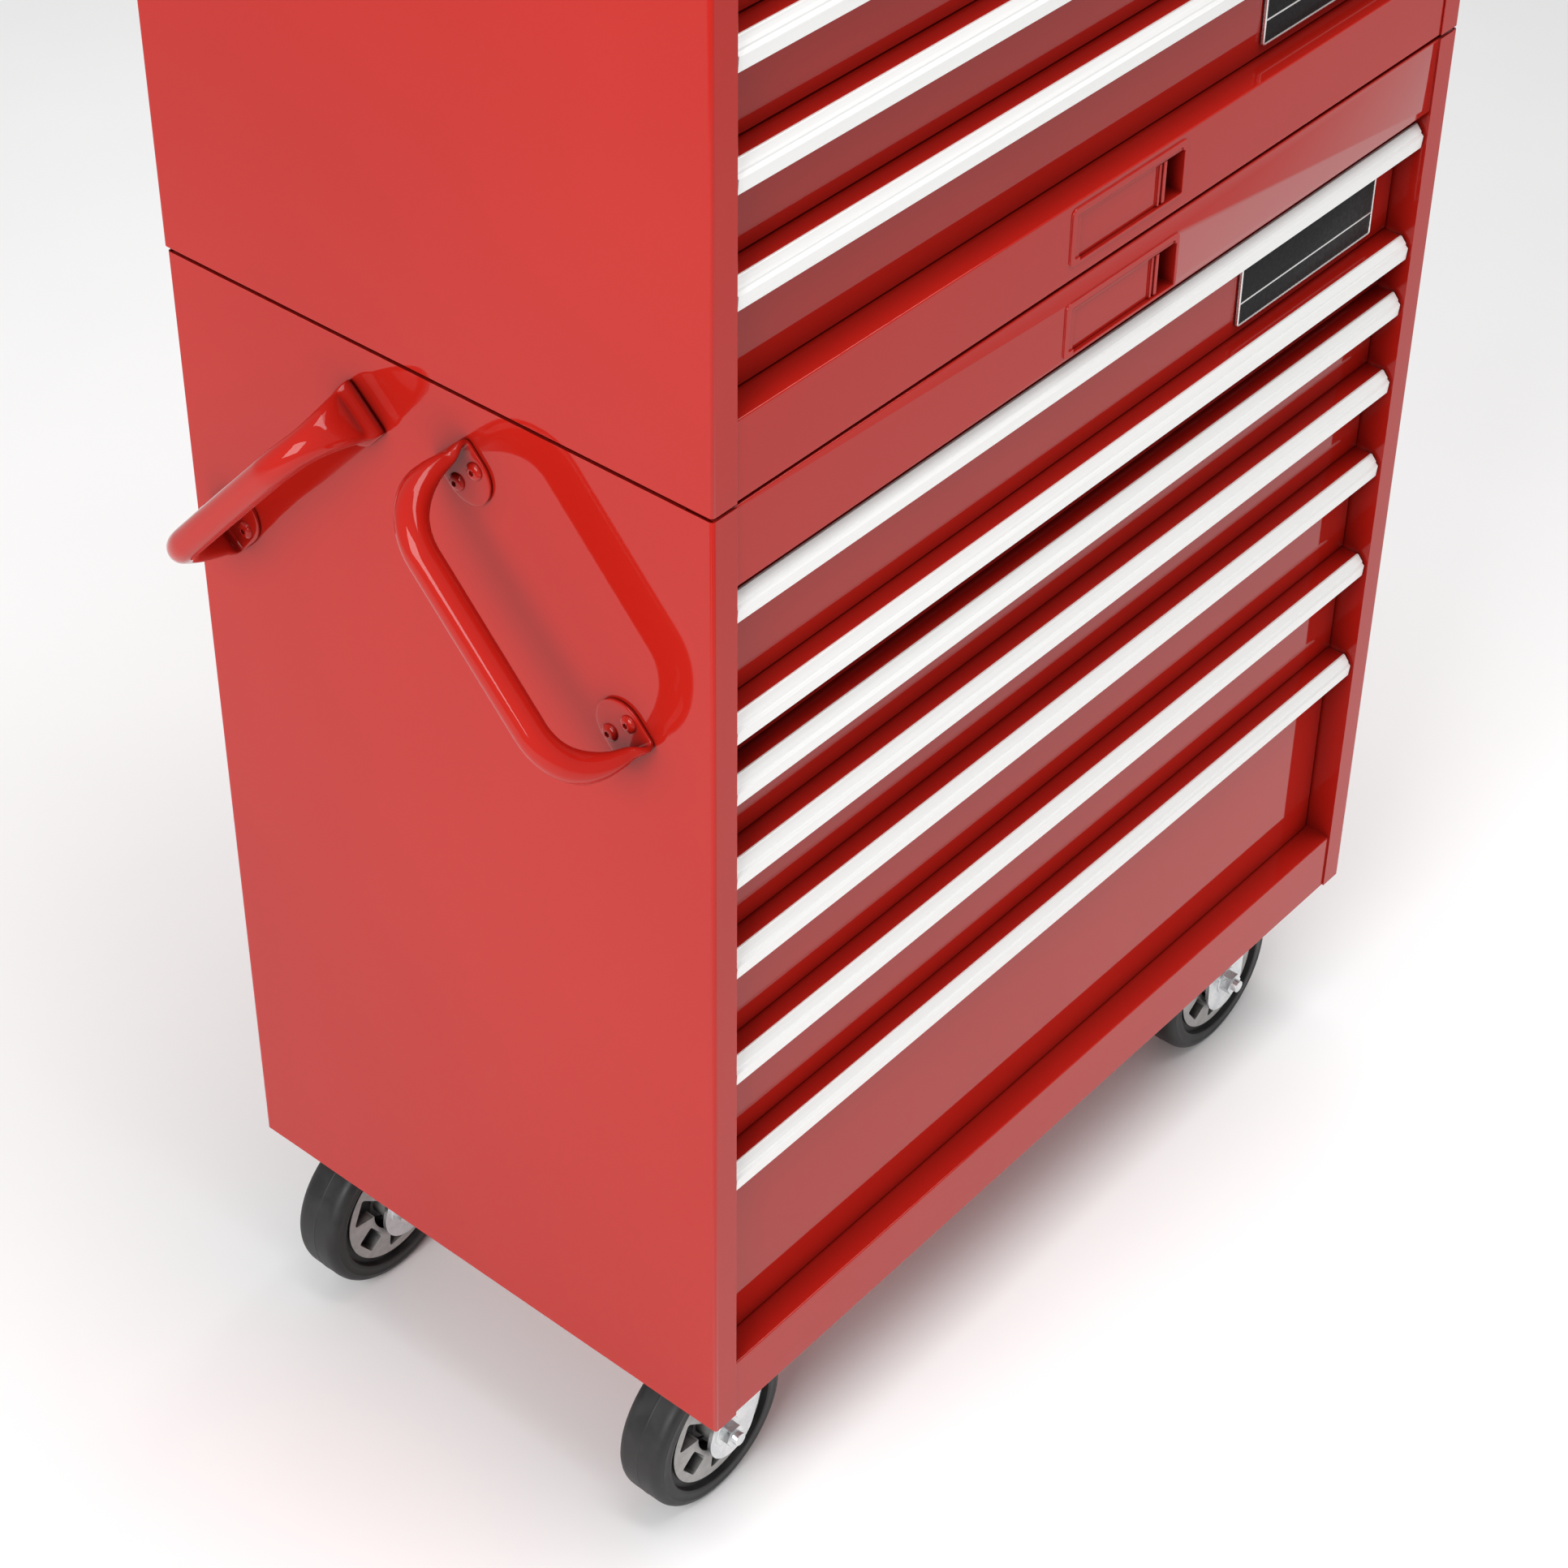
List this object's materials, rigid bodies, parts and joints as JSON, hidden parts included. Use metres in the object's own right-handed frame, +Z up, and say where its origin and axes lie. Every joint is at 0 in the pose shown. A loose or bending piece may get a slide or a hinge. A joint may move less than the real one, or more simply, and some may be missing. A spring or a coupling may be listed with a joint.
{
  "type": "rolling tool chest",
  "caption": "Tall painted-steel tool cabinet on casters with full-width drawers, a stacked drawer chest with a hinged lid, sliding lock covers and tubular side handles.",
  "frame": {"origin": "on the floor, under the middle of the whole object's box", "axes": "+Z up; the drawers open towards -Y; +X is to the right as seen from the front, away from the side handles"},
  "size_m": [0.9955, 0.5412, 1.5855],
  "materials": {
    "red_paint": "glossy red baked enamel",
    "satin_aluminium": "satin clear-anodised extrusion",
    "zinc": "bright zinc plate",
    "wheel_grey": "silver-grey moulded wheel centre",
    "tyre": "matt black rubber",
    "badge": "black plate with a silver border"
  },
  "bodies": {
    "frame": {"cabinet_shell": "red_paint", "cabinet_top": "red_paint", "cabinet_base": "red_paint", "cabinet_top_rail": "red_paint", "cabinet_bottom_rail": "red_paint", "slide_frames": "zinc", "chest_shell": "red_paint", "chest_base": "red_paint", "chest_bottom_rail": "red_paint", "chest_top_rail": "red_paint", "chest_till": "red_paint", "front_side_handle": "red_paint", "rear_side_handle": "red_paint", "handle_screws": "red_paint", "swivel_plates": "zinc", "chest_hinge_leaf": "zinc", "right_front_fork": "zinc", "right_rear_fork": "zinc"},
    "chest_drawer_1": {"chest_drawer_1": "red_paint", "chest_pull_1": "satin_aluminium"},
    "chest_drawer_2": {"chest_drawer_2": "red_paint", "chest_pull_2": "satin_aluminium"},
    "chest_drawer_3": {"chest_drawer_3": "red_paint", "chest_pull_3": "satin_aluminium"},
    "chest_drawer_4": {"chest_drawer_4": "red_paint", "chest_pull_4": "satin_aluminium", "chest_badge": "badge"},
    "cabinet_drawer_1": {"cabinet_drawer_1": "red_paint", "cabinet_pull_1": "satin_aluminium", "cabinet_badge": "badge"},
    "cabinet_drawer_2": {"cabinet_drawer_2": "red_paint", "cabinet_pull_2": "satin_aluminium"},
    "cabinet_drawer_3": {"cabinet_drawer_3": "red_paint", "cabinet_pull_3": "satin_aluminium"},
    "cabinet_drawer_4": {"cabinet_drawer_4": "red_paint", "cabinet_pull_4": "satin_aluminium"},
    "cabinet_drawer_5": {"cabinet_drawer_5": "red_paint", "cabinet_pull_5": "satin_aluminium"},
    "cabinet_drawer_6": {"cabinet_drawer_6": "red_paint", "cabinet_pull_6": "satin_aluminium"},
    "cabinet_drawer_7": {"cabinet_drawer_7": "red_paint", "cabinet_pull_7": "satin_aluminium"},
    "cabinet_lock_shutter": {"cabinet_lock_shutter": "red_paint"},
    "cabinet_lock_cylinder": {"cabinet_lock_cylinder": "zinc"},
    "cabinet_lock_bar": {"cabinet_lock_bar": "zinc"},
    "chest_lock_shutter": {"chest_lock_shutter": "red_paint"},
    "chest_lock_cylinder": {"chest_lock_cylinder": "zinc"},
    "chest_lock_bar": {"chest_lock_bar": "zinc"},
    "chest_lid": {"chest_lid": "red_paint", "lid_hinge_leaf": "zinc"},
    "left_front_wheel": {"left_front_rim": "wheel_grey", "left_front_tyre": "tyre"},
    "left_front_fork": {"left_front_fork": "zinc"},
    "left_rear_wheel": {"left_rear_rim": "wheel_grey", "left_rear_tyre": "tyre"},
    "left_rear_fork": {"left_rear_fork": "zinc"},
    "right_front_wheel": {"right_front_rim": "wheel_grey", "right_front_tyre": "tyre"},
    "right_rear_wheel": {"right_rear_rim": "wheel_grey", "right_rear_tyre": "tyre"}
  },
  "joints": [
    {"name": "chest_drawer_1_slide", "type": "slide", "parent": "frame", "child": "chest_drawer_1", "axis": [0, -1, 0], "range_m": [0, 0.35]},
    {"name": "chest_drawer_2_slide", "type": "slide", "parent": "frame", "child": "chest_drawer_2", "axis": [0, -1, 0], "range_m": [0, 0.35]},
    {"name": "chest_drawer_3_slide", "type": "slide", "parent": "frame", "child": "chest_drawer_3", "axis": [0, -1, 0], "range_m": [0, 0.35]},
    {"name": "chest_drawer_4_slide", "type": "slide", "parent": "frame", "child": "chest_drawer_4", "axis": [0, -1, 0], "range_m": [0, 0.35]},
    {"name": "cabinet_drawer_1_slide", "type": "slide", "parent": "frame", "child": "cabinet_drawer_1", "axis": [0, -1, 0], "range_m": [0, 0.35]},
    {"name": "cabinet_drawer_2_slide", "type": "slide", "parent": "frame", "child": "cabinet_drawer_2", "axis": [0, -1, 0], "range_m": [0, 0.35]},
    {"name": "cabinet_drawer_3_slide", "type": "slide", "parent": "frame", "child": "cabinet_drawer_3", "axis": [0, -1, 0], "range_m": [0, 0.35]},
    {"name": "cabinet_drawer_4_slide", "type": "slide", "parent": "frame", "child": "cabinet_drawer_4", "axis": [0, -1, 0], "range_m": [0, 0.35]},
    {"name": "cabinet_drawer_5_slide", "type": "slide", "parent": "frame", "child": "cabinet_drawer_5", "axis": [0, -1, 0], "range_m": [0, 0.35]},
    {"name": "cabinet_drawer_6_slide", "type": "slide", "parent": "frame", "child": "cabinet_drawer_6", "axis": [0, -1, 0], "range_m": [0, 0.35]},
    {"name": "cabinet_drawer_7_slide", "type": "slide", "parent": "frame", "child": "cabinet_drawer_7", "axis": [0, -1, 0], "range_m": [0, 0.35]},
    {"name": "cabinet_lock_shutter_slide", "type": "slide", "parent": "frame", "child": "cabinet_lock_shutter", "axis": [-1, 0, 0], "range_m": [0, 0.06]},
    {"name": "cabinet_lock_turn", "type": "hinge", "parent": "frame", "child": "cabinet_lock_cylinder", "pos_m": [0.06375, -0.24865, 1.034], "axis": [0, -1, 0], "range_deg": [0, 90]},
    {"name": "cabinet_lock_bar_lift", "type": "slide", "parent": "frame", "child": "cabinet_lock_bar", "axis": [0, 0, 1], "range_m": [0, 0.008]},
    {"name": "chest_lock_shutter_slide", "type": "slide", "parent": "frame", "child": "chest_lock_shutter", "axis": [-1, 0, 0], "range_m": [0, 0.06]},
    {"name": "chest_lock_turn", "type": "hinge", "parent": "frame", "child": "chest_lock_cylinder", "pos_m": [0.06375, -0.24865, 1.1125], "axis": [0, -1, 0], "range_deg": [0, 90]},
    {"name": "chest_lock_bar_lift", "type": "slide", "parent": "frame", "child": "chest_lock_bar", "axis": [0, 0, 1], "range_m": [0, 0.008]},
    {"name": "chest_lid_hinge", "type": "hinge", "parent": "frame", "child": "chest_lid", "pos_m": [0.04075, 0.26665, 1.5545], "axis": [-1, 0, 0], "range_deg": [0, 95]},
    {"name": "left_front_swivel", "type": "hinge", "parent": "frame", "child": "left_front_fork", "pos_m": [-0.30925, -0.19365, 0.1755], "axis": [0, 0, 1], "continuous": true},
    {"name": "left_front_wheel_axle", "type": "hinge", "parent": "left_front_fork", "child": "left_front_wheel", "pos_m": [-0.34875, -0.19365, 0.081], "axis": [0, 1, 0], "continuous": true},
    {"name": "left_rear_swivel", "type": "hinge", "parent": "frame", "child": "left_rear_fork", "pos_m": [-0.30925, 0.19535, 0.1755], "axis": [0, 0, 1], "continuous": true},
    {"name": "left_rear_wheel_axle", "type": "hinge", "parent": "left_rear_fork", "child": "left_rear_wheel", "pos_m": [-0.34875, 0.19535, 0.081], "axis": [0, 1, 0], "continuous": true},
    {"name": "right_front_wheel_axle", "type": "hinge", "parent": "frame", "child": "right_front_wheel", "pos_m": [0.39075, -0.19365, 0.081], "axis": [0, 1, 0], "continuous": true},
    {"name": "right_rear_wheel_axle", "type": "hinge", "parent": "frame", "child": "right_rear_wheel", "pos_m": [0.39075, 0.19535, 0.081], "axis": [0, 1, 0], "continuous": true}
  ],
  "couplings": [
    {"joint": "cabinet_lock_turn", "follows": "cabinet_lock_bar_lift", "rad_per_m": 196.35},
    {"joint": "chest_lock_turn", "follows": "chest_lock_bar_lift", "rad_per_m": 196.35}
  ]
}
